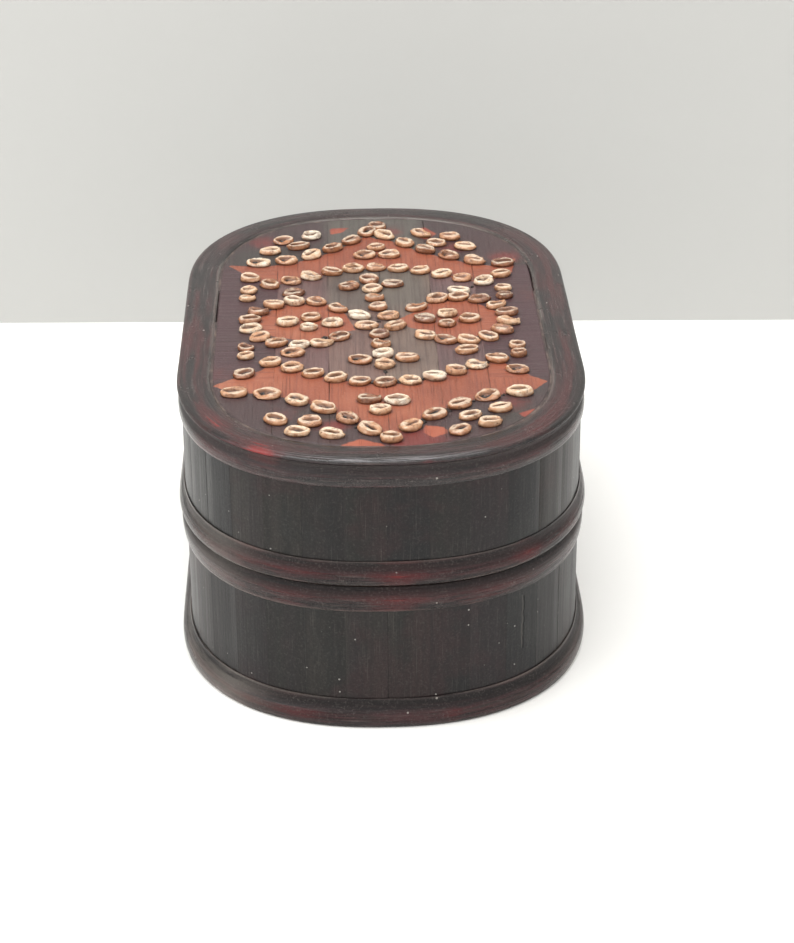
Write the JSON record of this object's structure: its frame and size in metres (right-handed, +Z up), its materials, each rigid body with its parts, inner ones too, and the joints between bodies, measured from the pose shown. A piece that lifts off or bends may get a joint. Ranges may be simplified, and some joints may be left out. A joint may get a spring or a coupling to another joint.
{
  "type": "shell box",
  "caption": "Oval lidded keepsake box with staved walls, dark lacquered rims and a flat lid set with cut sea shells in a mirrored pattern.",
  "frame": {"origin": "on the floor, under the middle of the box", "axes": "+X to the right across the box, +Y along its length to the far end, +Z up"},
  "size_m": [0.134, 0.214, 0.094],
  "materials": {
    "rim": "dark brown-black lacquer with a satin gloss, rubbed through to red-brown",
    "stave": "grey-black lacquered upright staves with fine grain and a low sheen",
    "board": "purple-brown and grey-brown stained boards with terracotta fields, set with cream to tan cut shells",
    "floor": "plain bare wood, dull",
    "shell": "glossy cream to tan sea shell with a dark slot"
  },
  "bodies": {
    "root": {"base_floor": "floor", "base_foot_rim": "rim", "base_top_rim": "rim", "base_wall": "stave", "lid_board": "board", "lid_bottom_rim": "rim", "lid_top_rim": "rim", "lid_wall": "stave", "shell_centre_far_left": "shell", "shell_centre_far_right": "shell", "shell_centre_near_left": "shell", "shell_centre_near_right": "shell", "shell_column_far_1": "shell", "shell_column_far_2": "shell", "shell_column_far_3": "shell", "shell_column_far_left": "shell", "shell_column_far_right": "shell", "shell_column_far_tip": "shell", "shell_column_near_1": "shell", "shell_column_near_2": "shell", "shell_column_near_3": "shell", "shell_column_near_left": "shell", "shell_column_near_right": "shell", "shell_column_near_tip": "shell", "shell_flower_left_far": "shell", "shell_flower_left_left": "shell", "shell_flower_left_near": "shell", "shell_flower_left_right": "shell", "shell_flower_right_far": "shell", "shell_flower_right_left": "shell", "shell_flower_right_near": "shell", "shell_flower_right_right": "shell", "shell_pair_far_left_1": "shell", "shell_pair_far_left_2": "shell", "shell_pair_far_right_1": "shell", "shell_pair_far_right_2": "shell", "shell_pair_near_left_1": "shell", "shell_pair_near_left_2": "shell", "shell_pair_near_right_1": "shell", "shell_pair_near_right_2": "shell", "shell_trefoil_far_left": "shell", "shell_trefoil_far_right": "shell", "shell_trefoil_far_tip": "shell", "shell_trefoil_near_left": "shell", "shell_trefoil_near_right": "shell", "shell_trefoil_near_tip": "shell"}
  },
  "joints": []
}
